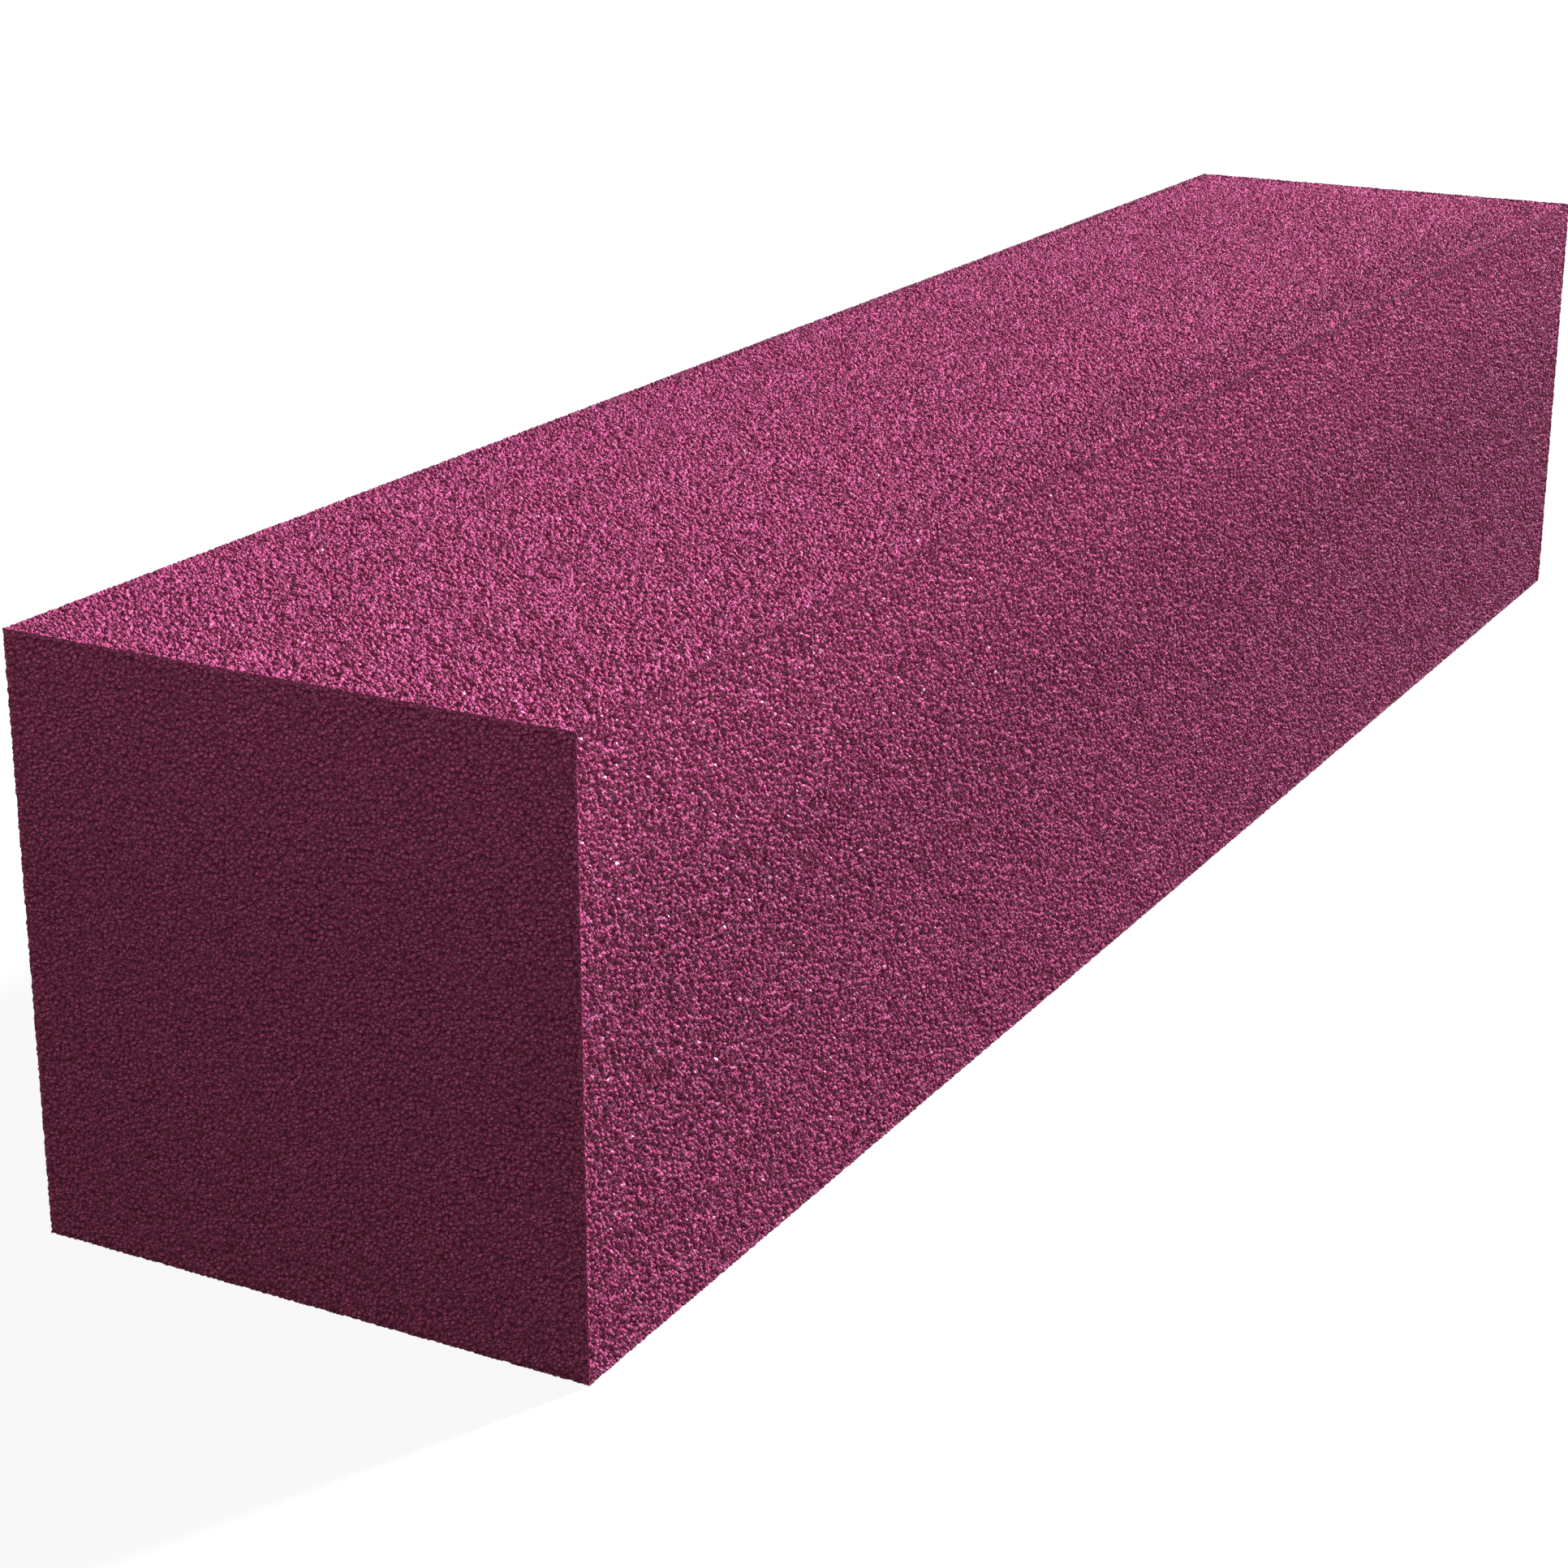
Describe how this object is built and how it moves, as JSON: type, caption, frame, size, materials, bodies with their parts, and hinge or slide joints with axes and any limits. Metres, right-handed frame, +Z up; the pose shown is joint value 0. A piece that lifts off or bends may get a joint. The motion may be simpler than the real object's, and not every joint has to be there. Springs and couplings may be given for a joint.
{
  "type": "balance beam",
  "caption": "Solid square-section balance beam of raspberry rubber granulate over a black rubber core, with a cast-in steel spine and plugged threaded anchor sockets below.",
  "frame": {"origin": "middle of the underside, on the ground", "axes": "+Z up, the beam's length along Y with the front end at -Y, width along X"},
  "size_m": [0.25, 1.2, 0.25],
  "materials": {
    "epdm_granulate": "fine coloured rubber granules bound with clear polyurethane, faintly glossy, with dark pores",
    "sbr_granulate": "coarse black recycled rubber granules, matt",
    "galvanised_steel": "hot-dip galvanised, dull spangled zinc",
    "polyethylene_black": "moulded black polyethylene",
    "polyethylene_grey": "moulded grey polyethylene"
  },
  "bodies": {
    "root": {"epdm_skin": "epdm_granulate", "sbr_core": "sbr_granulate", "spine_tube": "galvanised_steel", "spine_cap_front": "polyethylene_black", "spine_cap_rear": "polyethylene_black", "anchor_plate_front": "galvanised_steel", "anchor_plate_rear": "galvanised_steel", "anchor_socket_front": "galvanised_steel", "anchor_socket_rear": "galvanised_steel", "socket_plug_front": "polyethylene_grey", "socket_plug_rear": "polyethylene_grey"}
  },
  "joints": []
}
